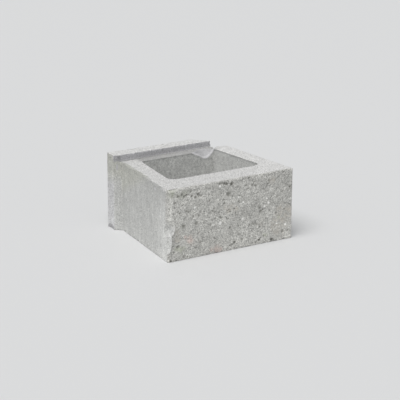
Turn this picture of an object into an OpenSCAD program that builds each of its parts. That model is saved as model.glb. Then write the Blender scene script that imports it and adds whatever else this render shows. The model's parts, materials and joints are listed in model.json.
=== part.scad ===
// Planter block: a dry-cast concrete wall unit with an open planting core.
// The front is the split face at -Y, the raised lip runs along the back at +Y,
// and the origin is in the middle of the base.

/* [Body] */
// Length of the split face, along the wall
face_length = 400; // [360:5:460]
// Height of the body, one course of the wall
body_height = 200; // [150:5:250]
// Depth from the split face to the back face
depth = 352; // [320:2:420]
// Width across the two sides where they reach the ears
rear_width = 344; // [316:2:360]
// Radius of the upright corners at the ends of the split face
corner_r = 6; // [2:1:20]

/* [Lip and ears] */
// Height of the lip above the top bed
lip_height = 18; // [10:1:30]
// Thickness of the lip, front to back
lip_thickness = 44; // [30:1:55]
// How far each ear stands out past its side
ear_reach = 19; // [8:1:25]
// Depth of the ear's straight end, up from the back face
ear_end = 36; // [25:1:45]
// Depth of the sloping front of the ear
ear_slope = 18; // [10:1:30]

/* [Planting core] */
// Thickness of the front wall, split face to core
front_wall = 83; // [60:1:110]
// Thickness of each side wall at the front of the core
side_wall_front = 48; // [40:1:70]
// Thickness of each side wall at the rear of the core
side_wall_rear = 52; // [40:1:70]
// Width of the ledge between the core and the lip
ledge = 30; // [20:1:45]
// Radius of the core's front corners
core_front_r = 18; // [6:1:30]
// Radius of the core's rear corners
core_rear_r = 7; // [3:1:20]

/* [Damage] */
// Distance from the block's middle to where the broken end of the lip starts
break_start = 125; // [100:1:140]
// Angle of the lip's broken end, back from square
break_skew = 43; // [20:1:60]
// Lean of the lip's broken end, out from its top
break_lean = 6; // [0:1:40]
// Slope of the fracture down to the back face
break_slope = 45; // [30:1:60]
// Turn of the fracture's upper line in plan, forward of the line of the lip
break_turn = 12; // [0:1:20]
// Distance from the block's middle to the notch beside the broken lip
notch_centre = 131; // [110:1:145]
// Depth of the notch where it crosses the line of the lip
notch_depth = 10; // [4:1:18]
// Angle of the notch in plan, out from square
notch_skew = 31; // [10:1:45]
// Distance from the block's middle to the deepest line of the scoop
scoop_centre = 94; // [60:1:98]
// Depth of the scoop where it meets the core, before its bottom is rounded
scoop_depth = 33; // [10:1:40]
// Width of the scoop's gentle side, toward the middle of the block
scoop_inner = 50; // [30:1:60]
// Width of the scoop's steep side, toward the broken corner
scoop_outer = 21; // [14:1:35]
// Radius of the bottom of the scoop
scoop_radius = 24; // [4:1:30]

/* [Hidden] */
front_y = -depth / 2;
back_y = depth / 2;
lip_y = back_y - lip_thickness;
ear_y = back_y - ear_end - ear_slope;
corner_y = front_y + corner_r;
core_front_y = front_y + front_wall;
core_rear_y = lip_y - ledge;
// The cutters run this far past the faces that they cut
past = 60;
// The cutter of the broken corner reaches past the whole block
reach = face_length + depth;
// The scoop's cutter stops this far out from the core's rear wall
into_core = 3;

// Half the width across the sides, at a distance y from the middle
function side_x(y) = face_length / 2
    - (face_length - rear_width) / 2 * (y - corner_y) / (ear_y - corner_y);

// Half the width of the core, at a distance y from the middle
function core_x(y) = side_x(y) - side_wall_front
    - (side_wall_rear - side_wall_front) * (y - core_front_y) / (core_rear_y - core_front_y);

// The angle by which a side leans in toward the back, from its x at two places
function lean(x1, y1, x2, y2) = atan((x1 - x2) / (y2 - y1));

// Points around a round corner, from one angle to another
function arc(centre, r, from, to) =
    [for (a = [from:(to - from) / 6:to]) centre + r * [cos(a), sin(a)]];

// The right half of the outline, from the split face to the back face
side_lean = lean(side_x(corner_y), corner_y, side_x(ear_y), ear_y);
corner_centre = [side_x(corner_y) - corner_r / cos(side_lean), corner_y];
half_outline = concat(
    arc(corner_centre, corner_r, -90, side_lean),
    [[side_x(ear_y), ear_y],
     [rear_width / 2 + ear_reach, back_y - ear_end],
     [rear_width / 2 + ear_reach, back_y]]);

module mirrored() {
    children();
    mirror([1, 0, 0]) children();
}

// The whole outline, as two halves that meet on the middle line
module outline() {
    mirrored()
        polygon(concat([[0, front_y]], half_outline, [[0, back_y]]));
}

module body_and_lip() {
    linear_extrude(body_height) outline();
    linear_extrude(body_height + lip_height)
        intersection() {
            outline();
            translate([-face_length, lip_y])
                square([2 * face_length, lip_thickness]);
        }
}

// The core narrows with the sides and is open top and bottom
module planting_core() {
    core_lean = lean(core_x(core_front_y), core_front_y, core_x(core_rear_y), core_rear_y);
    front_centre = [core_x(core_front_y + core_front_r) - core_front_r / cos(core_lean),
                    core_front_y + core_front_r];
    rear_centre = [core_x(core_rear_y - core_rear_r) - core_rear_r / cos(core_lean),
                   core_rear_y - core_rear_r];
    half_core = concat(
        arc(front_centre, core_front_r, -90, core_lean),
        arc(rear_centre, core_rear_r, core_lean, 90));
    translate([0, 0, -past])
        linear_extrude(body_height + 2 * past)
            mirrored()
                polygon(concat([[0, core_front_y]], half_core, [[0, core_rear_y]]));
}

// The rear right corner is knocked off: a slope down to the back face from
// the line of the lip, ended by the skewed face of what is left of the lip
module broken_corner() {
    translate([0, lip_y, body_height])
        intersection() {
            translate([break_start, 0, 0])
                rotate([0, 0, break_skew])
                    rotate([0, -break_lean, 0])
                        translate([0, -reach, -reach])
                            cube([reach, 2 * reach, 2 * reach]);
            translate([break_start, 0, 0])
                rotate([-break_slope, 0, -break_turn])
                    translate([-reach, -reach, 0])
                        cube([2 * reach, 2 * reach, reach]);
        }
}

// A notch between the lip's end and the rim, upright on the lip's side and
// sloping up to the rim. It starts at the core's rear wall and deepens toward
// the back
module notch() {
    fall = atan(notch_depth / ledge);
    translate([notch_centre, lip_y, body_height - notch_depth])
        rotate([90 - fall, 0, -notch_skew])
            translate([0, 0, -past])
                linear_extrude(2 * past)
                    polygon([[0, 0], [past, past], [0, past]]);
}

// The sides of the scoop meet in a round bottom. Its outline is drawn on the
// slope, so heights are shortened by the slope's rise
module ledge_scoop() {
    rise = atan(scoop_depth / ledge);
    drop = scoop_depth * cos(rise);
    inner_slope = atan(drop / scoop_inner);
    outer_slope = atan(drop / scoop_outer);
    // Where the round bottom's centre lies, above and beside the deepest line
    half_angle = (180 - inner_slope - outer_slope) / 2;
    centre_far = scoop_radius / sin(half_angle);
    centre_angle = 180 - inner_slope - half_angle;
    centre = centre_far * [cos(centre_angle), sin(centre_angle)];
    wide = past / drop;
    intersection() {
        translate([scoop_centre, lip_y, body_height])
            rotate([90 + rise, 0, 0])
                translate([0, 0, -past])
                    linear_extrude(2 * past + ledge)
                        polygon(concat(
                            [[scoop_outer * wide, past], [-scoop_inner * wide, past]],
                            arc(centre, scoop_radius, 270 - inner_slope, 270 + outer_slope)));
        translate([0, core_rear_y - into_core, 0])
            cube([face_length / 2, into_core + ledge, body_height + past]);
    }
}

module planter_block() {
    color("lightgray")
        difference() {
            body_and_lip();
            planting_core();
            broken_corner();
            notch();
            ledge_scoop();
        }
}

planter_block();
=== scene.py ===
import json
import math
import random

import bpy
from mathutils import Matrix, Quaternion, Vector, noise
from mathutils.bvhtree import BVHTree
from mathutils.kdtree import KDTree


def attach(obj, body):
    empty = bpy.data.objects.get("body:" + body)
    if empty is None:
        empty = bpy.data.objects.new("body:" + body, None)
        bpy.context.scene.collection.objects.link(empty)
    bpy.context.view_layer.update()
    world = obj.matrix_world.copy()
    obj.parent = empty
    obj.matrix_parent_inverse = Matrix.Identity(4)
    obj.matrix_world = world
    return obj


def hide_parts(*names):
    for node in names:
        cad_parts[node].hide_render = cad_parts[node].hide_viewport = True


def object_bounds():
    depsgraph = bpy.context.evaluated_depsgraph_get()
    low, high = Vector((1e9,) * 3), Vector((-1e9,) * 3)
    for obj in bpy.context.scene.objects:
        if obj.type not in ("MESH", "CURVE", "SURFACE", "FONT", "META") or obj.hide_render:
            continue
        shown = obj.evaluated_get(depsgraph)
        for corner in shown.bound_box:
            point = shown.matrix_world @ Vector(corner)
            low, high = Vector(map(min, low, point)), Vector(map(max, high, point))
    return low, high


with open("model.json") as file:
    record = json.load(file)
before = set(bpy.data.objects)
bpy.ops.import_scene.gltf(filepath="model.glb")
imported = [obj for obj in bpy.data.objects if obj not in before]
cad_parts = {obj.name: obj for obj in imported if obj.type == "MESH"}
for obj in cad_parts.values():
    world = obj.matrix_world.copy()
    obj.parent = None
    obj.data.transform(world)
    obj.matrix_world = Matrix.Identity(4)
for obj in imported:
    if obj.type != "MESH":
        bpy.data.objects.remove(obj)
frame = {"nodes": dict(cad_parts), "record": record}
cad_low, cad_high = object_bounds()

# A dry-cast concrete planter block. The moulded shape is a copy of the frame's
# solid. Here its arrises are chipped and worn, its front gets the relief of
# the split, its broken rear corner is roughened, and every surface gets the
# concrete finish that its making left on it, with some light and shade painted in.

# ---------------------------------------------------------------- sizes

MM = 0.001


def mount_place(name):
    """Where a mount of the record lies, in metres."""
    for mount in frame["record"]["mounts"]:
        if mount["name"] == name:
            return Vector(mount["pos_m"])
    raise ValueError(name)


BED = mount_place("top_bed").z
LIP_LINE = mount_place("lip_front").y
FRONT = cad_low.y
BACK = cad_high.y
HALF_FACE = cad_high.x
core_low, core_high = (Vector(p) for p in frame["record"]["physics"]["openings"][0]["box_m"])
# Where the ledge between the core and the lip starts
LEDGE_START = LIP_LINE - 30 * MM
# Where the straight end of each ear starts
EAR_END = BACK - 36 * MM
# How far a side draws in for each step back, up to where its ear starts
SIDE_DRAW = 0.096
# The whole left side lies to the left of this place
LEFT_SIDE = -150 * MM
# The broken rear right corner lies to the right of this place, behind the core
BREAK_START = 30 * MM


def from_face(x, behind, z):
    """A place given in mm: across from the middle, behind the split face, up from the base."""
    return Vector((x * MM, FRONT + behind * MM, z * MM))


def side_at(y):
    """Half the width across the sides at a place y."""
    return HALF_FACE - SIDE_DRAW * (y - FRONT)


def smooth_step(value, low, high):
    """0 below low, 1 above high and an even blend between them."""
    t = min(max((value - low) / (high - low), 0.0), 1.0)
    return t * t * (3 - 2 * t)


def between(value, start, full, wane, end):
    """1 from full to wane, 0 before start and after end, and an even blend between them."""
    return smooth_step(value, start, full) * (1 - smooth_step(value, wane, end))


def fade(value, low, high, start, end):
    """A number that goes evenly from start to end while the value goes from low to high."""
    return start + (end - start) * min(max((value - low) / (high - low), 0.0), 1.0)


# ---------------------------------------------------------------- modelling


def select_only(*objects):
    """Makes these the only selected objects, and the first one active."""
    bpy.ops.object.select_all(action="DESELECT")
    for item in objects:
        item.select_set(True)
    bpy.context.view_layer.objects.active = objects[0]


def apply_modifier(piece, kind, name, **settings):
    """Adds a modifier to a piece and applies it."""
    select_only(piece)
    modifier = piece.modifiers.new(name, kind)
    for key, value in settings.items():
        setattr(modifier, key, value)
    bpy.ops.object.modifier_apply(modifier=name)


def cast_body():
    """The moulded block: a copy of the frame's solid with its triangles joined up."""
    source = frame["nodes"]["planter_block"]
    body = bpy.data.objects.new("concrete_block", source.data.copy())
    bpy.context.scene.collection.objects.link(body)
    select_only(body)
    bpy.ops.object.mode_set(mode="EDIT")
    bpy.ops.mesh.select_all(action="SELECT")
    bpy.ops.mesh.remove_doubles(threshold=0.01 * MM)
    bpy.ops.object.mode_set(mode="OBJECT")
    return body


SHORTEST_ARRIS = 14 * MM
LEAST_ANGLE = math.radians(32)
# The arrises of the broken corner are fresh down to this far under the bed
FRESH_DEPTH = 40 * MM
# The middle of each round corner at the ends of the split face lies this far in
CORNER_IN = 2 * MM


def arrises(body):
    """The worn outward edges of a body: both ends, and the way out between the two faces.
    Those of the broken corner are fresh and stay sharp."""
    mesh = body.data
    faces_of = {}
    for face in mesh.polygons:
        for key in face.edge_keys:
            faces_of.setdefault(key, []).append(face)
    found = []
    for (a, b), faces in faces_of.items():
        if len(faces) != 2:
            continue
        one, other = faces
        start = mesh.vertices[a].co.copy()
        end = mesh.vertices[b].co.copy()
        # On an outward edge, each face lies behind the plane of the other
        outward = (other.center - start).dot(one.normal) < -0.1 * MM
        sharp = one.normal.angle(other.normal, 0.0) > LEAST_ANGLE
        x, y, z = (start + end) / 2
        fresh = x > BREAK_START and y > core_high.y and z > BED - FRESH_DEPTH
        if outward and sharp and not fresh and (end - start).length > SHORTEST_ARRIS:
            found.append((start, end, (one.normal + other.normal).normalized()))
    for side in (-1, 1):
        start = Vector((side * (HALF_FACE - CORNER_IN), FRONT + CORNER_IN, 0))
        out = Vector((side, -1, 0)).normalized()
        found.append((start, start + Vector((0, 0, BED)), out))
    return found


def broken_faces(body):
    """A search tree of the faces of the fracture at the rear right corner."""
    mesh = body.data
    corners = [vertex.co.copy() for vertex in mesh.vertices]
    picked = []
    for face in mesh.polygons:
        level = abs(face.normal.z) > 0.999
        upright = abs(face.normal.z) < 0.02
        at_break = face.center.x > BREAK_START and face.center.y > core_high.y
        if at_break and not level and not upright:
            picked.append(tuple(face.vertices))
    return BVHTree.FromPolygons(corners, picked)


def cutter_copy(model, place, radii, turn):
    """A copy of a cutter, with its own mesh, at its size and place."""
    cutter = bpy.data.objects.new(model.name + "_copy", model.data.copy())
    bpy.context.scene.collection.objects.link(cutter)
    cutter.data.transform(Matrix.LocRotScale(place, turn, Vector(radii)))
    return cutter


def carve(body, cutters, name):
    """Takes a list of closed cutters out of the body, and removes them."""
    select_only(*cutters)
    bpy.ops.object.join()
    joined = bpy.context.object
    apply_modifier(body, "BOOLEAN", name, operation="DIFFERENCE", object=joined, solver="MANIFOLD")
    bpy.data.objects.remove(joined)


def round_cutter():
    """A smooth ball, 2 units across, for spalls."""
    bpy.ops.mesh.primitive_ico_sphere_add(subdivisions=5, radius=1.0)
    return bpy.context.object


def broken_cutter():
    """A ball of many flat facets, 2 units across, for chips."""
    bpy.ops.mesh.primitive_ico_sphere_add(subdivisions=2, radius=1.0)
    piece = bpy.context.object
    apply_modifier(piece, "DECIMATE", "facets", ratio=0.6)
    return piece


# ---------------------------------------------------------------- spalls and chips

# Each spall is taken off by an egg, given as its middle, its radii and its turn

# The long flake off the left front arris came away in three shells. Each is part of an
# egg that stands upright beside the arris: how high its middle is, its upright radius
# and how deep it bites into the arris, in mm
FLAKE_SHELLS = [(60, 72, 8.2), (94, 34, 18), (152, 92, 12)]
# The level radius of all three, in mm
FLAKE_RADIUS = 45
FLAKE_OUT = Vector((-0.77, -0.64, 0)).normalized()


def flake_egg(height, upright, bite):
    """The egg of one shell of the flake."""
    arris = Vector((-HALF_FACE, FRONT, height * MM))
    centre = arris + FLAKE_OUT * (FLAKE_RADIUS - bite) * MM
    return (centre, (FLAKE_RADIUS * MM, FLAKE_RADIUS * MM, upright * MM), Quaternion())


# The outer arris of the left rim is worn behind the front corner: how far behind the split
# face, half the egg's length, its radius and how deep it bites, in mm
RIM_WEAR = [
    (14, 22, 24, 3),
    (30, 12, 24, 6.5),
    (133, 45, 12, 2.6),
    (190, 48, 12, 2.6),
    (246, 48, 12, 2.6),
]
RIM_OUT = Vector((-1, 0, 1)).normalized()


def rim_egg(behind, half_length, radius, bite):
    """The egg of one worn stretch of the left rim."""
    y = FRONT + behind * MM
    centre = Vector((-side_at(y), y, BED)) + RIM_OUT * (radius - bite) * MM
    radii = (radius * MM, half_length * MM, radius * MM)
    return (centre, radii, Quaternion((0, 0, 1), -math.atan(SIDE_DRAW)))


FLAKES = [flake_egg(*shell) for shell in FLAKE_SHELLS]
WORN_RIM = [rim_egg(*stretch) for stretch in RIM_WEAR]
# The top corner over the flake is worn round
CORNER = (from_face(-191, -3, 208), (34 * MM, 16 * MM, 15 * MM), Quaternion())
# Spalls on the left side and its ear: place (from_face), radii in mm, turn about Z in degrees
SPALLS = [
    (from_face(*place), [radius * MM for radius in radii], Quaternion((0, 0, 1), math.radians(turn)))
    for place, radii, turn in [
        ((-197, 334, -3), (8.5, 24, 21), 0),
        ((-184, 307, 184), (2.4, 7, 9), -43),
        ((-194, 82, 184), (3, 5, 4), 5),
        ((-183, 197, 0), (5, 5, 6), 5),
    ]
]


def knock_spalls(body):
    """Takes the long flake, the worn corner, the rim's wear and the other spalls off the body."""
    model = round_cutter()
    # Eggs that overlap are cut one after another, because together they spoil each other
    rounds = [[egg] for egg in FLAKES + [CORNER] + WORN_RIM] + [SPALLS]
    for eggs in rounds:
        carve(body, [cutter_copy(model, *egg) for egg in eggs], "spalls")
    bpy.data.objects.remove(model)


def egg_reach(point, centre, radii, turn):
    """1 on the surface of an egg and less inside it."""
    away = turn.inverted() @ (point - centre)
    return Vector((away.x / radii[0], away.y / radii[1], away.z / radii[2])).length


def nearest_egg(point, eggs):
    """The least reach of a point among some eggs, under 1 inside one of them."""
    return min(egg_reach(point, *egg) for egg in eggs)


def spalled(point):
    """1 in the spalls and 0 away from them. All of them lie on the left side."""
    if point.x > LEFT_SIDE:
        return 0.0
    return 1 - smooth_step(nearest_egg(point, SPALLS), 1.04, 1.2)


def mostly_small(limits, lean, rng):
    """A random length between two limits. The greater the lean, the more of them are short."""
    low, high = limits
    return low + (high - low) * rng.random() ** lean


def any_turn(rng):
    """A turn about a random axis."""
    axis = Vector((rng.gauss(0, 1), rng.gauss(0, 1), rng.gauss(0, 1)))
    return Quaternion(axis, rng.random() * math.tau).normalized()


CHIP_SPACING = 26 * MM
CHIP_RADIUS = (2.2 * MM, 6.5 * MM)
CHIP_DEPTH = (0.3 * MM, 1.6 * MM)
# Along the split the chips are closer together and bigger, by these shares
SPLIT_CHIP_SPACING = 0.4
SPLIT_CHIP_SIZE = 1.7


def knock_chips(body, edges, rng):
    """Breaks small chips out of the arrises, closer together and bigger along the split."""
    model = broken_cutter()
    cutters = []
    for start, end, out in edges:
        length = (end - start).length
        split_arris = max(start.y, end.y) < FRONT + 5 * MM
        spacing = CHIP_SPACING * (SPLIT_CHIP_SPACING if split_arris else 1.0)
        bigger = SPLIT_CHIP_SIZE if split_arris else 1.0
        count = int(length / spacing + rng.random())
        for step in range(count):
            radius = bigger * mostly_small(CHIP_RADIUS, 2.4, rng)
            depth = bigger * mostly_small(CHIP_DEPTH, 1.6, rng)
            along = start.lerp(end, (step + rng.random()) / count)
            place = along + out * max(radius - depth, 0.0)
            radii = (radius * rng.uniform(0.7, 1.5), radius, radius * rng.uniform(0.8, 1.2))
            cutters.append(cutter_copy(model, place, radii, any_turn(rng)))
    bpy.data.objects.remove(model)
    # Neighbours are cut one after another, because cutters that overlap spoil each other
    for first in range(3):
        carve(body, cutters[first::3], "chips")


# ---------------------------------------------------------------- the split face

# The larger holes that stones left in the split face: across, up and radius in mm
STONE_HOLES = [
    (-23, 191, 4.6), (-17, 189, 4.6), (-1, 187, 5.6), (-106, 175, 4.6), (-114, 168, 4.0),
    (-104, 169, 3.6), (-125, 173, 3.6), (-141, 178, 3.6), (-128, 186, 3.2), (-162, 131, 3.0),
    (-104, 115, 3.6), (-60, 121, 3.0), (-54, 116, 3.2), (-33, 97, 3.4), (-10, 117, 3.2),
    (11, 20, 4.8), (3, 14, 3.4), (-4, 13, 3.0), (91, 13, 4.6), (95, 18, 3.2), (133, 6, 5.6),
    (185, 25, 3.4), (81, 58, 3.0), (190, 149, 3.4), (-170, 39, 3.8), (-190, 4, 4.0),
    (72, 181, 3.0), (55, 195, 3.4), (-28, 147, 3.2), (-24, 146, 3.0),
]
# Hollows are as wide but shallower
HOLLOWS = [
    (-39, 194, 4.0), (-32, 193, 4.0), (-10, 160, 7.6), (-98, 170, 3.6), (-156, 182, 4.4),
    (-149, 175, 4.2), (-168, 178, 4.2), (-111, 96, 5.2), (-37, 100, 4.2), (-5, 110, 3.4),
    (-5, 64, 4.4), (34, 24, 4.4), (80, 7, 3.8), (168, 24, 4.2), (94, 94, 4.6), (67, 64, 3.4),
    (73, 61, 4.0), (91, 50, 3.8), (144, 81, 3.6), (-178, 161, 3.8), (-166, 41, 3.8),
    (66, 173, 3.8), (76, 170, 3.6), (45, 175, 3.4), (-56, 127, 3.4), (-142, 134, 3.4),
    (-135, 130, 3.4), (90, 106, 4.0), (-24, 136, 3.4), (120, 178, 4.0), (-150, 93, 5.0),
]
SMALL_HOLES = 240
SMALL_HOLE_RADIUS = (1.4 * MM, 3.0 * MM)
# How deep a hole and a hollow are, for their radius
HOLE_DEPTH = 1.1
HOLLOW_DEPTH = 0.55
DEEPEST_HOLE = 7 * MM
# A hole of this radius or more is fully dark with dirt and painted shade
DARK_HOLE_RADIUS = 4.5 * MM

# Pale grains that show whole in the split face: across, up and radius in mm
PALE_GRAINS = [
    (35, 83, 4.8), (-38, 83, 5.4), (118, 116, 4.8), (105, 107, 3.6), (-117, 140, 4.2),
    (176, 43, 4.4), (-39, 186, 3.6), (36, 130, 3.2), (112, 129, 2.8), (-135, 52, 3.4),
    (20, 147, 2.8), (147, 51, 3.4),
]
# Marks of other kinds, given in the same way: stains of iron, brown weathered stones,
# algae, and soiled hollows
IRON_STAINS = [
    (-131, 52, 17), (-135, 52, 9), (-145, 62, 8), (-46, 9, 18), (-35, 8, 9), (-64, 12, 9),
]
BROWN_STONES = [
    (152, 54, 42), (187, 78, 26), (141, 56, 16), (-8, 122, 18), (16, 112, 10), (-172, 62, 16),
    (-175, 84, 10), (130, 178, 14),
]
ALGAE_STAINS = [
    (111, 24, 10), (-172, 37, 16), (-161, 29, 15), (-186, 187, 18), (-153, 180, 20), (152, 69, 8),
]
SOILED_HOLLOWS = [
    (-153, 95, 12), (-152, 181, 16), (-134, 186, 9), (-174, 84, 7), (190, 150, 8), (86, 109, 8),
]
# Broad paler and darker patches of the split face: across, up and radius in mm, and tone
FACE_PATCHES = [
    (-150, 176, 34, 1.20), (-45, 168, 42, 1.09), (-48, 82, 40, 1.06), (-28, 46, 24, 1.07),
    (30, 46, 18, 1.07), (120, 162, 38, 0.87), (30, 101, 32, 0.87), (63, 72, 24, 0.87),
    (182, 42, 28, 0.92), (-182, 68, 26, 0.91), (152, 64, 22, 0.94), (-115, 106, 34, 0.96),
    (180, 112, 18, 0.93), (178, 172, 22, 0.94),
]


def in_face(marks):
    """Marks of the split face, given in mm, as place in the face and radius in metres."""
    return [(Vector((x * MM, 0, z * MM)), radius * MM) for x, z, radius in marks]


def hole_list(rng):
    """The named holes, and small ones all over: place in the face and radius, in metres."""
    holes = in_face(STONE_HOLES)
    for _ in range(SMALL_HOLES):
        across = rng.uniform(-0.95, 0.98) * HALF_FACE
        up = rng.uniform(0.02, 0.97) * BED
        holes.append((Vector((across, 0, up)), mostly_small(SMALL_HOLE_RADIUS, 2, rng)))
    return holes


def search_tree(places):
    """A search tree of places, by their number in the list."""
    tree = KDTree(len(places))
    for index, place in enumerate(places):
        tree.insert(place, index)
    tree.balance()
    return tree


def spots(marks, ragged):
    """How far a place of the split face lies inside any of the marks, 1 at a mark's middle
    and 0 at its rim, with the radius of that mark. Their outlines are ragged by that share."""
    tree = search_tree([place for place, radius in marks])
    widest = max(radius for place, radius in marks) * (1 + ragged)

    def inside(point):
        flat = Vector((point.x, 0, point.z))
        best = (0.0, 0.0)
        for place, index, away in tree.find_range(flat, widest):
            radius = marks[index][1]
            bent = away * (1 + ragged * noise.noise(flat / (0.9 * radius)))
            best = max(best, (1 - bent / radius, radius))
        return best

    return inside


def marked(marks, ragged, firm, least=1.0, most=1.0):
    """How strongly a place of the split face shows any of the marks. They reach full strength
    at that share of the way in, and it wanders between least and most in cloudy patches."""
    inside = spots(in_face(marks), ragged)

    def amount(point):
        cloudy = smooth_step(noise.noise(point / (9 * MM)), -0.4, 0.4)
        return smooth_step(inside(point)[0], 0.0, firm) * (least + (most - least) * cloudy)

    return amount


def split_amount(point):
    """1 on the split face and 0 on the moulded faces. Low down, the long flake beside it
    is smooth and its edge is crisp. Higher up, the split runs over it and fades on the side."""
    behind = point.y - FRONT
    if point.x > 0:
        return 1 - smooth_step(behind, 4 * MM, 9 * MM)
    higher = between(point.z, 84 * MM, 108 * MM, BED - 3 * MM, BED - 0.5 * MM)
    on_front = 1 - smooth_step(behind, (4 + 3 * higher) * MM, (9 + 14 * higher) * MM)
    if on_front == 0.0:
        return 0.0
    return on_front * max(higher, smooth_step(nearest_egg(point, FLAKES), 1.01, 1.05))


def face_tone(point):
    """How pale the split face is in its broad patches."""
    tone = 1.0
    for x, z, radius, patch in FACE_PATCHES:
        away = math.hypot(point.x / MM - x, point.z / MM - z)
        tone *= patch + (1 - patch) * smooth_step(away, 0.2 * radius, 1.3 * radius)
    return tone


# ---------------------------------------------------------------- the moulded faces

# Painted shade and light on the flake: how pale its surface is at some heights in mm.
# Its deepest shell is painted dark in the lower half and pale in the upper half
FLAKE_PAINTED_SHADING = [(70, 0.90), (76, 0.70), (97, 0.73), (106, 1.10), (122, 1.10), (132, 0.96)]


def flake_painted_shading(height):
    """How pale the painted shade and light make the flake at a height, between the named heights."""
    tone = FLAKE_PAINTED_SHADING[0][1]
    for (low, start), (high, end) in zip(FLAKE_PAINTED_SHADING, FLAKE_PAINTED_SHADING[1:]):
        if height > low * MM:
            tone = fade(height, low * MM, high * MM, start, end)
    return tone


def lip_front(point, depth):
    """Whether a place is over the bed and no farther back than that behind the lip's front."""
    return point.z > BED + 1 * MM and point.y < LIP_LINE + depth


def skin_tone_and_painted_shade(point):
    """How pale the moulded sides are, with painted shade and light in some places."""
    behind = point.y - FRONT
    # They are paler toward the foot, and darker under the rim
    tone = fade(point.z, 0.0, BED, 1.06, 0.94)
    tone *= fade(point.z, 0.0, 25 * MM, 1.06, 1.0)
    tone *= fade(point.z, 0.84 * BED, 0.98 * BED, 1.0, 0.93)
    # They are palest beside the split, but for its top, and a little darker at the rear
    under_rim = fade(point.z, 0.6 * BED, 0.95 * BED, 1.0, 0.0)
    tone *= 1 + fade(behind, 15 * MM, 100 * MM, 0.26, 0.0) * under_rim
    tone *= fade(behind, 220 * MM, 260 * MM, 1.0, 0.96)
    # Painted shade: a dark line runs under the worn arris of the left rim
    if point.x < LEFT_SIDE and point.z > BED - 9 * MM and 105 * MM < behind < 296 * MM:
        tone *= fade(point.z, BED - 9 * MM, BED - 4 * MM, 1.0, 0.9)
    # The ear's end is paler again, most of all in its lower half
    ear = fade(point.z, 75 * MM, 110 * MM, 1.09, 1.05)
    tone *= fade(behind, 308 * MM, 318 * MM, 1.0, ear)
    # Painted shade and light on the flake, by height
    tone *= fade(nearest_egg(point, FLAKES), 1.0, 1.04, flake_painted_shading(point.z), 1.0)
    # Painted shade: the lip's left end, over the ear's slope, is as dark as the lip's shaded front
    if lip_front(point, 7 * MM) and point.x < -172 * MM:
        tone *= 0.7
    return tone


def bed_tone(point):
    """Painted light on the top: palest to the right and on the lip."""
    rightward = fade(point.x, 60 * MM, 150 * MM, 1.0, 1.08)
    on_lip = fade(point.z, BED + 5 * MM, BED + 12 * MM, 1.0, 1.08)
    return rightward * on_lip


def core_wall(point):
    """1 on the walls of the core, and on the rims around it, where the bed covers it."""
    within = core_low.y - 10 * MM < point.y < core_high.y + 10 * MM
    return float(within and abs(point.x) < core_high.x + 45 * MM)


def on_ledge(point):
    """1 on the ledge before the lip. At its two ends it fades into the rim, but for a strip
    along the foot of the lip on the left, and the top of the left ear's slope."""
    if not LEDGE_START - 1 * MM < point.y < LIP_LINE + 1 * MM:
        return 0.0
    amount = fade(abs(point.x), 118 * MM, 134 * MM, 1.0, 0.0)
    if point.x < 0:
        # Along the foot of the lip, the ledge's colour with its painted shade reaches onto the rim
        foot_of_lip = fade(point.y, LIP_LINE - 8 * MM, LIP_LINE - 3 * MM, 0.0, 1.0)
        top_of_ear = fade(point.x, -175 * MM, -169 * MM, 1.0, 0.0)
        amount = max(amount, foot_of_lip, top_of_ear)
    return amount


def rim_skin(point):
    """1 in a ragged border of the left rim, behind its worn corner, that has the side's skin."""
    if point.z < BED - 6 * MM or point.x > LEFT_SIDE:
        return 0.0
    width = (5 + 3 * noise.noise(point / (20 * MM))) * MM
    border = 1 - smooth_step(point.x + side_at(point.y), width - 2 * MM, width + 2 * MM)
    return border * between(point.y - FRONT, 105 * MM, 125 * MM, 288 * MM, 300 * MM)


def olive_skin(point):
    """How far algae tint the upper rear of the left side, and the top of its ear."""
    if point.x > LEFT_SIDE:
        return 0.0
    behind = point.y - FRONT
    lowest = fade(behind, 110 * MM, 300 * MM, 190 * MM, 95 * MM)
    if behind > 300 * MM:
        lowest = 135 * MM
    tint = 0.5 * smooth_step(point.z, lowest, lowest + 40 * MM)
    tint *= smooth_step(behind, 100 * MM, 160 * MM)
    # It goes only a little way round onto the back face
    if point.y > BACK - 3 * MM:
        tint *= smooth_step(-point.x, 168 * MM, 188 * MM)
    return tint


def painted_sky_shade(point):
    """How far a painted cool tint of sky-lit shade covers the skin: 1 on the lip's front face,
    and less low on the end of the left ear."""
    if lip_front(point, 9 * MM):
        return 1.0
    if point.x > -180 * MM:
        return 0.0
    low_on_ear = fade(point.z, 130 * MM, 145 * MM, 1.0, 0.0)
    return low_on_ear * fade(point.y, EAR_END - 2 * MM, EAR_END + 2 * MM, 0.0, 0.6)


def crumbled(point):
    """1 along the lower edge of the scoop, where its crumbled bottom lies a little higher."""
    across = between(point.x, 45 * MM, 70 * MM, 96 * MM, 120 * MM)
    near_wall = 1 - smooth_step(abs(point.y - core_high.y), 4 * MM, 18 * MM)
    up = between(point.z, BED - 55 * MM, BED - 32 * MM, BED - 12 * MM, BED - 3 * MM)
    return across * near_wall * up


# ---------------------------------------------------------------- the block

LEAST_WEIGHT = 0.001


def weigh(piece, name, amount):
    """A vertex group whose weights are amount(position) of each vertex."""
    group = piece.vertex_groups.new(name=name)
    for vertex in piece.data.vertices:
        value = amount(vertex.co)
        if value > LEAST_WEIGHT:
            group.add([vertex.index], value, "REPLACE")


def weights_of(piece, name):
    """The weight of each vertex in a group."""
    index = piece.vertex_groups[name].index
    return [
        sum(entry.weight for entry in vertex.groups if entry.group == index)
        for vertex in piece.data.vertices
    ]


def paint(piece, name, amount, shares=None):
    """A value at each vertex, amount(position), for the material to read. Where shares are
    given, one for each vertex, the value is cut down to them."""
    layer = piece.data.attributes.new(name, "FLOAT", "POINT")
    for vertex in piece.data.vertices:
        share = shares[vertex.index] if shares else 1.0
        layer.data[vertex.index].value = share * amount(vertex.co) if share else 0.0


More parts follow.
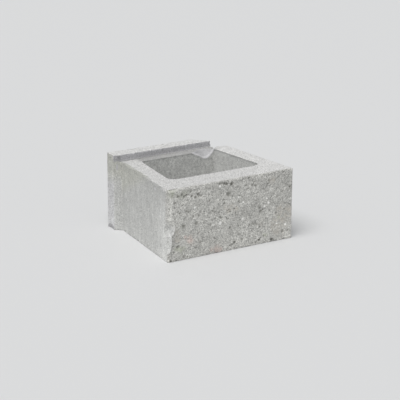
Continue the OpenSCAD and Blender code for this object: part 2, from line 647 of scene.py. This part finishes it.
def push(piece, name, group, depth, along):
    """Moves the surface that way by the depth, as far as the group says."""
    apply_modifier(
        piece, "DISPLACE", name, direction=along, vertex_group=group, mid_level=0.0, strength=depth,
    )


def relief(piece, name, group, size, depth, basis, detail, along="NORMAL", rest=1.0):
    """Moves the surface by a pattern of that size and depth in mm, where the group says.
    The pattern's value of rest stays where it is."""
    pattern = bpy.data.textures.new(name, "CLOUDS")
    pattern.noise_scale = size * MM
    pattern.noise_basis = basis
    pattern.noise_depth = detail
    apply_modifier(
        piece, "DISPLACE", name, texture=pattern, texture_coords="LOCAL", direction=along,
        vertex_group=group, mid_level=rest, strength=depth * MM,
    )


def keep_inside(piece):
    """Nothing of the piece stands out past the frame's box."""
    for vertex in piece.data.vertices:
        for axis in range(3):
            vertex.co[axis] = min(max(vertex.co[axis], cad_low[axis]), cad_high[axis])


ARRIS_STEP = 2 * MM
# How far the wear of an arris, the fracture's roughness and the painted shade beside the
# fracture on the core's walls reach: in full up to the first distance, and not at all past the second
WEAR_REACH = (0.5 * MM, 6 * MM)
FRACTURE_REACH = (0.5 * MM, 3 * MM)
BREAK_SHADE_REACH = (3 * MM, 5.5 * MM)


def arris_tree(edges):
    """A search tree of places along the arrises."""
    places = []
    for start, end, out in edges:
        steps = int((end - start).length / ARRIS_STEP) + 1
        places += [start.lerp(end, step / steps) for step in range(steps + 1)]
    return search_tree(places)


def weigh_surfaces(body, edges, broken, in_hole, in_hollow):
    """Groups that say where the split, the holes, the worn arrises, the fracture and the
    moulded skin are. edges and broken are the arrises and the fracture before any wear."""
    near = arris_tree(edges)

    def worn(point):
        return 1 - smooth_step(near.find(point)[2], *WEAR_REACH)

    def fractured(point):
        return 1 - smooth_step(broken.find_nearest(point)[3], *FRACTURE_REACH)

    def by_fracture(point):
        return 1 - smooth_step(broken.find_nearest(point)[3], *BREAK_SHADE_REACH)

    def open_break(point):
        return smooth_step(point.y, LIP_LINE, LIP_LINE + 8 * MM) * fractured(point)

    def moulded(point):
        return 1 - max(split_amount(point), open_break(point))

    def dug(point):
        split = split_amount(point)
        if split == 0.0:
            return 0.0
        deepest = 0.0
        for (inside, radius), depth in [(in_hole(point), HOLE_DEPTH), (in_hollow(point), HOLLOW_DEPTH)]:
            bowl = math.sqrt(1 - (1 - inside) ** 2)
            deepest = max(deepest, bowl * depth * radius)
        return split * min(deepest / DEEPEST_HOLE, 1.0)

    weigh(body, "split_face", split_amount)
    weigh(body, "holes", dug)
    weigh(body, "arris", worn)
    weigh(body, "scoop_edge", crumbled)
    weigh(body, "open_break", open_break)
    weigh(body, "fracture", fractured)
    weigh(body, "by_fracture", by_fracture)
    weigh(body, "moulded", moulded)


def roughen(body):
    """The relief of the split, the fracture, the arrises and the skin, from coarse to fine."""
    relief(body, "split_sweep", "split_face", 70, 4.6, "IMPROVED_PERLIN", 1, along="Y", rest=0.2)
    relief(body, "split_shells", "split_face", 20, 2.1, "VORONOI_F1", 1, along="Y", rest=0.1)
    relief(body, "split_stones", "split_face", 8, 2.0, "VORONOI_F1", 0, along="Y", rest=0.1)
    relief(body, "split_grit", "split_face", 3.2, 2.6, "BLENDER_ORIGINAL", 1, along="Y", rest=0.3)
    push(body, "stone_holes", "holes", DEEPEST_HOLE, "Y")
    push(body, "scoop_crumbs", "scoop_edge", 4 * MM, "Z")
    relief(body, "break_sweep", "open_break", 26, 12.0, "IMPROVED_PERLIN", 1, rest=0.5)
    relief(body, "break_stones", "open_break", 9, 3.0, "VORONOI_F1", 1, rest=0.7)
    relief(body, "fracture_shells", "fracture", 18, 1.0, "VORONOI_F1", 1)
    relief(body, "fracture_grit", "fracture", 4, 0.9, "BLENDER_ORIGINAL", 2)
    relief(body, "arris_wear", "arris", 5, 0.8, "BLENDER_ORIGINAL", 2)
    relief(body, "skin", "moulded", 5, 0.5, "BLENDER_ORIGINAL", 2)


def paint_surfaces(body, in_hole, in_hollow):
    """The values that the material reads. Those of the split and the fracture fade out with
    their groups, which aren't needed any more."""
    split = weights_of(body, "split_face")
    fracture = weights_of(body, "fracture")
    open_break = weights_of(body, "open_break")
    by_fracture = weights_of(body, "by_fracture")
    body.vertex_groups.clear()

    def everywhere(point):
        return 1.0

    # Dirt and painted shade in the holes and hollows, darker in the wider holes
    def shadowed(point):
        inside, radius = in_hole(point)
        deep = min(radius / DARK_HOLE_RADIUS, 1.0) ** 2
        in_dark = deep * smooth_step(inside, 0.0, 0.5)
        return max(in_dark, 0.75 * smooth_step(in_hollow(point)[0], 0.0, 0.3))

    paint(body, "skin_tone_and_painted_shade", skin_tone_and_painted_shade)
    paint(body, "face_tone", face_tone)
    paint(body, "bed_tone", bed_tone)
    paint(body, "core_wall", core_wall)
    paint(body, "ledge", on_ledge)
    paint(body, "rim_skin", rim_skin)
    paint(body, "olive_skin", olive_skin)
    paint(body, "painted_sky_shade", painted_sky_shade)
    paint(body, "spall", spalled)
    paint(body, "fracture", everywhere, fracture)
    paint(body, "open_break", everywhere, open_break)
    paint(body, "by_fracture", everywhere, by_fracture)
    paint(body, "split_face", everywhere, split)
    paint(body, "hole_dirt_and_shade", shadowed, split)
    paint(body, "pale_grain", marked(PALE_GRAINS, 0.3, 0.35), split)
    paint(body, "iron_stain", marked(IRON_STAINS, 0.4, 0.8, 0.4, 0.75), split)
    paint(body, "brown_stone", marked(BROWN_STONES, 0.8, 0.6, 0.15, 0.8), split)
    paint(body, "algae_stain", marked(ALGAE_STAINS, 0.8, 1.0, 0.35, 0.85), split)
    paint(body, "soiled", marked(SOILED_HOLLOWS, 0.8, 0.8, 0.4, 0.8), split)


GRID = 1.6 * MM
MOST_TRIANGLES = 190000


def build_block():
    """The whole block, from the moulded body to the worn and split one."""
    rng = random.Random(7)
    body = cast_body()
    edges = arrises(body)
    broken = broken_faces(body)
    knock_spalls(body)
    knock_chips(body, edges, rng)
    apply_modifier(body, "REMESH", "even_grid", mode="VOXEL", voxel_size=GRID, adaptivity=0.0)

    in_hole = spots(hole_list(rng), 0.3)
    in_hollow = spots(in_face(HOLLOWS), 0.3)
    weigh_surfaces(body, edges, broken, in_hole, in_hollow)
    roughen(body)
    # The remesh leaves faces of four sides, and so two triangles each
    share = MOST_TRIANGLES / (2 * len(body.data.polygons))
    if share < 1:
        apply_modifier(body, "DECIMATE", "thin_flat_parts", ratio=share, vertex_group="moulded")
    keep_inside(body)
    select_only(body)
    bpy.ops.object.shade_smooth()
    paint_surfaces(body, in_hole, in_hollow)
    return body


# ---------------------------------------------------------------- materials


def linear(hex_colour):
    """An sRGB hex colour as linear red, green, blue and alpha."""
    channels = [int(hex_colour[i:i + 2], 16) / 255 for i in (1, 3, 5)]
    return [c / 12.92 if c <= 0.04045 else ((c + 0.055) / 1.055) ** 2.4 for c in channels] + [1.0]


def add(tree, kind, settings=None, **links):
    """Adds a node. settings are its properties or unlinked inputs, links its linked inputs.
    An input that shares its name with others is given by its number."""
    node = tree.nodes.new(kind)
    for key, value in (settings or {}).items():
        if isinstance(key, int) or key in node.inputs:
            node.inputs[key].default_value = value
        else:
            setattr(node, key, value)
    for key, source in links.items():
        by_number = key.startswith("in") and key[2:].isdigit()
        socket = node.inputs[int(key[2:]) if by_number else key.replace("_", " ")]
        tree.links.new(source, socket)
    return node


def new_material(name):
    """A node material with no nodes yet, and the tree to build it in."""
    material = bpy.data.materials.new(name)
    material.use_nodes = True
    material.node_tree.nodes.clear()
    return material, material.node_tree


def mottle(tree, place, size, depth, detail=2.0):
    """A tone that wanders between 1 - depth and 1 + depth in patches of that size."""
    pattern = add(tree, "ShaderNodeTexNoise", {
        "Scale": 1 / size, "Detail": detail, "Roughness": 0.6,
    }, Vector=place)
    # The noise seldom goes past these two values
    return add(tree, "ShaderNodeMapRange", {
        "From Min": 0.32, "From Max": 0.68, "To Min": 1 - depth, "To Max": 1 + depth,
    }, Value=pattern.outputs[0]).outputs[0]


def specks(tree, place, spacing, radius, share, tone):
    """1, and the tone in small round specks: one to a cell of the spacing, in a share of the
    cells."""
    cells = add(tree, "ShaderNodeTexVoronoi", {"Scale": 1 / spacing}, Vector=place)
    lot = add(tree, "ShaderNodeSeparateColor", Color=cells.outputs["Color"]).outputs[0]
    chosen = add(tree, "ShaderNodeMath", {"operation": "LESS_THAN", 1: share}, in0=lot).outputs[0]
    spot = add(tree, "ShaderNodeMapRange", {
        "From Min": 0.6 * radius / spacing, "From Max": 1.4 * radius / spacing,
        "To Min": 1.0, "To Max": 0.0,
    }, Value=cells.outputs["Distance"]).outputs[0]
    here = add(tree, "ShaderNodeMath", {"operation": "MULTIPLY"}, in0=spot, in1=chosen).outputs[0]
    return add(tree, "ShaderNodeMapRange", {"To Min": 1.0, "To Max": tone}, Value=here).outputs[0]


def shaded(tree, hex_colour, tones):
    """A colour darkened and lightened by a list of tones."""
    total = tones[0]
    for tone in tones[1:]:
        total = add(tree, "ShaderNodeMath", {"operation": "MULTIPLY"}, in0=total, in1=tone).outputs[0]
    return add(tree, "ShaderNodeVectorMath", {
        "operation": "SCALE", 0: linear(hex_colour)[:3],
    }, Scale=total).outputs[0]


def laid_where(tree, name, under, over):
    """One colour laid over another where the piece carries a value of that name."""
    amount = add(tree, "ShaderNodeAttribute", {"attribute_name": name}).outputs["Fac"]
    return add(tree, "ShaderNodeMix", {"data_type": "RGBA"}, in0=amount, in6=under, in7=over).outputs[2]


def moulded_sides(tree, place, common, sand):
    """The moulded sides: fine sand, faint upright marks of the mould's draw, few pores, an
    olive tint where algae grow and a painted cool tint of sky-lit shade on the lip's front face."""
    drawn = add(tree, "ShaderNodeMapping", {"Scale": (1, 1, 0.1)}, Vector=place).outputs[0]
    skin = add(tree, "ShaderNodeAttribute", {"attribute_name": "skin_tone_and_painted_shade"}).outputs["Fac"]
    tones = common + [
        skin, sand,
        mottle(tree, drawn, 6 * MM, 0.08),
        specks(tree, place, 9 * MM, 1.5 * MM, 0.35, 0.75),
        specks(tree, place, 11 * MM, 1.6 * MM, 0.3, 1.18),
    ]
    side = shaded(tree, "#c5c5c2", tones)
    side = laid_where(tree, "olive_skin", side, shaded(tree, "#c3c3b7", tones))
    # A painted cool tint of sky-lit shade on the lip's front face and low on the ear's end
    return laid_where(tree, "painted_sky_shade", side, shaded(tree, "#cbcacc", tones))


def core_walls(tree, place, common):
    """The core's walls kept their pale cement skin. Painted shade darkens them in a line
    under the rim and beside the fracture."""
    height = add(tree, "ShaderNodeSeparateXYZ", in0=place).outputs["Z"]
    # Painted shade in a line under the rim
    under_rim = add(tree, "ShaderNodeMapRange", {
        "From Min": BED - 7 * MM, "From Max": BED - 3 * MM, "To Min": 1.0, "To Max": 0.62,
    }, Value=height).outputs[0]
    # Painted shade on the walls beside the fracture
    beside = add(tree, "ShaderNodeAttribute", {"attribute_name": "by_fracture"}).outputs["Fac"]
    shade_by_fracture = add(tree, "ShaderNodeMapRange", {"To Min": 1.0, "To Max": 0.7}, Value=beside).outputs[0]
    return shaded(tree, "#d2d2cf", common + [
        under_rim, shade_by_fracture,
        mottle(tree, place, 2.4 * MM, 0.25, detail=1),
        mottle(tree, place, 8 * MM, 0.1),
        specks(tree, place, 5 * MM, 1.2 * MM, 0.4, 0.68),
    ])


def tamped_bed(tree, place, patch):
    """The top was pressed by the tamper's shoe: paler and more open."""
    # Painted light makes the top palest to the right and on the lip
    bed_light = add(tree, "ShaderNodeAttribute", {"attribute_name": "bed_tone"}).outputs["Fac"]
    return shaded(tree, "#d0cfcd", [
        patch, bed_light,
        mottle(tree, place, 2.4 * MM, 0.26, detail=1),
        mottle(tree, place, 3.0 * MM, 0.19, detail=1),
        specks(tree, place, 5 * MM, 1.3 * MM, 0.45, 0.6),
    ])


def shadowed_ledge(tree, place, common, sand):
    """The ledge before the lip stayed darker, because the tamper doesn't reach it. Painted
    shade makes it darkest in the corner under the lip, away from the broken end."""
    axes = add(tree, "ShaderNodeSeparateXYZ", in0=place).outputs
    # Painted shade in the corner under the lip, strongest to the left
    corner = add(tree, "ShaderNodeMapRange", {
        "From Min": LIP_LINE - 12 * MM, "From Max": LIP_LINE,
    }, Value=axes["Y"]).outputs[0]
    strength = add(tree, "ShaderNodeMapRange", {
        "From Min": -130 * MM, "From Max": 70 * MM, "To Min": -0.32, "To Max": -0.06,
    }, Value=axes["X"]).outputs[0]
    shade = add(tree, "ShaderNodeMath", {
        "operation": "MULTIPLY_ADD", 2: 1.0,
    }, in0=corner, in1=strength).outputs[0]
    return shaded(tree, "#aeadab", common + [sand, shade])


def split_stones(tree, place, cloud):
    """The split: broken stones of many greys in sandy paste, paler toward the foot."""
    bent = add(tree, "ShaderNodeTexNoise", {"Scale": 1 / (4 * MM), "Detail": 1.0}, Vector=place)
    bend = add(tree, "ShaderNodeVectorMath", {
        "operation": "MULTIPLY_ADD", 1: (4 * MM, 4 * MM, 4 * MM),
    }, in0=bent.outputs["Color"], in2=place).outputs[0]
    stones = add(tree, "ShaderNodeTexVoronoi", {"Scale": 1 / (7 * MM)}, Vector=bend)
    lot = add(tree, "ShaderNodeSeparateColor", Color=stones.outputs["Color"]).outputs[0]
    greys = add(tree, "ShaderNodeMapRange", {"To Min": 0.9, "To Max": 1.1}, Value=lot).outputs[0]
    height = add(tree, "ShaderNodeSeparateXYZ", in0=place).outputs["Z"]
    lower = add(tree, "ShaderNodeMapRange", {
        "From Max": BED, "To Min": 1.02, "To Max": 0.96,
    }, Value=height).outputs[0]
    patches = add(tree, "ShaderNodeAttribute", {"attribute_name": "face_tone"}).outputs["Fac"]
    return shaded(tree, "#cbcac5", [
        cloud, greys, lower, patches,
        mottle(tree, place, 80 * MM, 0.11),
        mottle(tree, place, 26 * MM, 0.06),
        mottle(tree, place, 2.3 * MM, 0.48, detail=1),
        specks(tree, place, 5.5 * MM, 1.3 * MM, 0.35, 0.6),
        specks(tree, place, 13 * MM, 1.9 * MM, 0.13, 0.55),
        specks(tree, place, 12 * MM, 1.8 * MM, 0.3, 1.28),
    ])


def marked_split(tree, place, stony, cloud):
    """The split with its marks: brown stones, stains of algae, soiled hollows, pale grains,
    stains of iron, and dirt and painted shade in the holes where stones pulled out."""
    grit = mottle(tree, place, 3 * MM, 0.25, detail=1)
    split = stony
    for name, hex_colour, tones in [
        ("brown_stone", "#c9c4bb", [cloud, grit]),
        ("algae_stain", "#c0c3b3", [grit]),
        ("soiled", "#aaaaa3", [grit]),
        ("pale_grain", "#fffefa", [mottle(tree, place, 3 * MM, 0.05)]),
        ("iron_stain", "#d8c6be", [grit]),
        ("hole_dirt_and_shade", "#96958f", [mottle(tree, place, 3 * MM, 0.2)]),
    ]:
        split = laid_where(tree, name, split, shaded(tree, hex_colour, tones))
    return split


def fresh_break(tree, place, common, stony):
    """The scoop and the spalls are fresh, finer and cooler, with a painted highlight on the
    crumbled edge where the scoop meets the core. The open break behind the lip is stony."""
    back = add(tree, "ShaderNodeSeparateXYZ", in0=place).outputs["Y"]
    # Painted highlight along the scoop's lower edge, where it meets the core
    painted_edge_highlight = add(tree, "ShaderNodeMapRange", {
        "From Min": core_high.y + 6 * MM, "From Max": core_high.y + 9 * MM,
        "To Min": 1.35, "To Max": 1.0,
    }, Value=back).outputs[0]
    grain = mottle(tree, place, 3 * MM, 0.1, detail=1)
    fresh = shaded(tree, "#bab9ba", common + [painted_edge_highlight, grain])
    return laid_where(tree, "open_break", fresh, stony)


def concrete():
    """Dry-cast concrete: cement paste, sand and stones up to 9 mm, rammed in a steel mould.
    It looks dull and sandy, grey on the skin and in many greys where it was split."""
    material, tree = new_material("dry_cast_concrete")
    place = add(tree, "ShaderNodeTexCoord").outputs["Object"]
    facing = add(tree, "ShaderNodeNewGeometry").outputs["True Normal"]
    up = add(tree, "ShaderNodeSeparateXYZ", in0=facing).outputs["Z"]
    on_top = add(tree, "ShaderNodeMapRange", {"From Min": 0.5, "From Max": 0.75}, Value=up).outputs[0]
    below = add(tree, "ShaderNodeMapRange", {"From Min": -0.55, "From Max": -0.85}, Value=up).outputs[0]

    # Slow changes of the whole casting, from how the damp mix was packed
    cloud = mottle(tree, place, 60 * MM, 0.04, detail=3)
    patch = mottle(tree, place, 17 * MM, 0.05)
    common = [cloud, patch]
    # The finest sand shows as a speckle. Here, on the core's walls, on the bed and on the
    # split, it is drawn a little coarser than the real 1 mm
    sand = mottle(tree, place, 2.4 * MM, 0.33, detail=1)

    side = moulded_sides(tree, place, common, sand)
    colour = laid_where(tree, "core_wall", side, core_walls(tree, place, common))
    bed = tamped_bed(tree, place, patch)
    colour = add(tree, "ShaderNodeMix", {"data_type": "RGBA"}, in0=on_top, in6=colour, in7=bed).outputs[2]
    colour = laid_where(tree, "rim_skin", colour, side)
    ledge = shadowed_ledge(tree, place, common, sand)
    level = add(tree, "ShaderNodeMix", {"data_type": "RGBA"}, in0=on_top, in6=colour, in7=ledge).outputs[2]
    colour = laid_where(tree, "ledge", colour, level)
    # The underside took the smooth grain of the pallet
    base = shaded(tree, "#c2c2be", common + [mottle(tree, place, 3 * MM, 0.1)])
    colour = add(tree, "ShaderNodeMix", {"data_type": "RGBA"}, in0=below, in6=colour, in7=base).outputs[2]

    stony = split_stones(tree, place, cloud)
    colour = laid_where(tree, "split_face", colour, marked_split(tree, place, stony, cloud))
    fresh = fresh_break(tree, place, common, stony)
    colour = laid_where(tree, "spall", colour, fresh)
    colour = laid_where(tree, "fracture", colour, fresh)

    # Sand grains too fine to model roughen the light
    grains = add(tree, "ShaderNodeTexNoise", {"Scale": 1 / (1.6 * MM), "Detail": 2.0}, Vector=place)
    bump = add(tree, "ShaderNodeBump", {
        "Strength": 0.6, "Distance": 0.4 * MM,
    }, Height=grains.outputs[0])
    dull = add(tree, "ShaderNodeMapRange", {
        "From Min": 0.3, "From Max": 0.7, "To Min": 0.86, "To Max": 0.97,
    }, Value=grains.outputs[0])
    shader = add(
        tree, "ShaderNodeBsdfPrincipled",
        Base_Color=colour, Roughness=dull.outputs[0], Normal=bump.outputs[0],
    )
    out = add(tree, "ShaderNodeOutputMaterial")
    tree.links.new(shader.outputs[0], out.inputs[0])
    return material


block = build_block()
block.data.materials.clear()
block.data.materials.append(concrete())
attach(block, "root")
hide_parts("planter_block")

# ---------------------------------------------------------------- the studio

CAMERA_AZIMUTH = -31.94
CAMERA_ELEVATION = 17.63
CAMERA_ROLL = 0.26
CAMERA_DISTANCE = 3.78
CAMERA_AIM = Vector((-0.0533, -0.0958, 0.1298))
# Focal length and width of the film, in mm
LENS = 126
FILM_WIDTH = 36
FLOOR_RADIUS = 14


def place_camera():
    """The camera looks down on the front left corner from far off."""
    azimuth = math.radians(CAMERA_AZIMUTH)
    elevation = math.radians(CAMERA_ELEVATION)
    back = Vector((
        math.sin(azimuth) * math.cos(elevation),
        -math.cos(azimuth) * math.cos(elevation),
        math.sin(elevation),
    ))
    data = bpy.data.cameras.new("camera")
    data.lens = LENS
    data.sensor_width = FILM_WIDTH
    camera = bpy.data.objects.new("camera", data)
    camera.location = CAMERA_AIM + back * CAMERA_DISTANCE
    camera.rotation_mode = "QUATERNION"
    roll = Quaternion((0, 0, 1), math.radians(CAMERA_ROLL))
    camera.rotation_quaternion = (-back).to_track_quat("-Z", "Y") @ roll
    bpy.context.scene.collection.objects.link(camera)
    bpy.context.scene.camera = camera


def floor():
    """A wide floor in matt paint, even and pale."""
    bpy.ops.object.select_all(action="DESELECT")
    bpy.ops.mesh.primitive_circle_add(vertices=96, radius=FLOOR_RADIUS, fill_type="NGON")
    ground = bpy.context.object
    ground.name = "studio_floor"
    material, tree = new_material("pale_paint")
    shader = add(tree, "ShaderNodeBsdfPrincipled", {"Base Color": linear("#dedede"), "Roughness": 0.9})
    out = add(tree, "ShaderNodeOutputMaterial")
    tree.links.new(shader.outputs[0], out.inputs[0])
    ground.data.materials.append(material)


def sun(name, azimuth, elevation, strength, softness):
    """A soft far lamp. azimuth is where it stands, seen from the block, clockwise from the
    front. Angles are in degrees."""
    data = bpy.data.lights.new(name, "SUN")
    data.energy = strength
    data.angle = math.radians(softness)
    lamp = bpy.data.objects.new(name, data)
    a = math.radians(azimuth)
    e = math.radians(elevation)
    toward = Vector((-math.sin(a) * math.cos(e), -math.cos(a) * math.cos(e), math.sin(e)))
    lamp.rotation_euler = toward.to_track_quat("Z", "Y").to_euler()
    bpy.context.scene.collection.objects.link(lamp)


def sky(strength):
    """An even pale surround."""
    world = bpy.data.worlds.new("surround")
    bpy.context.scene.world = world
    world.use_nodes = True
    tree = world.node_tree
    tree.nodes.clear()
    shade = add(tree, "ShaderNodeBackground", {"Color": linear("#f4f6f8"), "Strength": strength})
    out = add(tree, "ShaderNodeOutputWorld")
    tree.links.new(shade.outputs[0], out.inputs[0])


place_camera()
floor()
sun("key", azimuth=62, elevation=64, strength=1.95, softness=40)
sky(strength=0.45)
bpy.context.scene.view_settings.view_transform = "Standard"
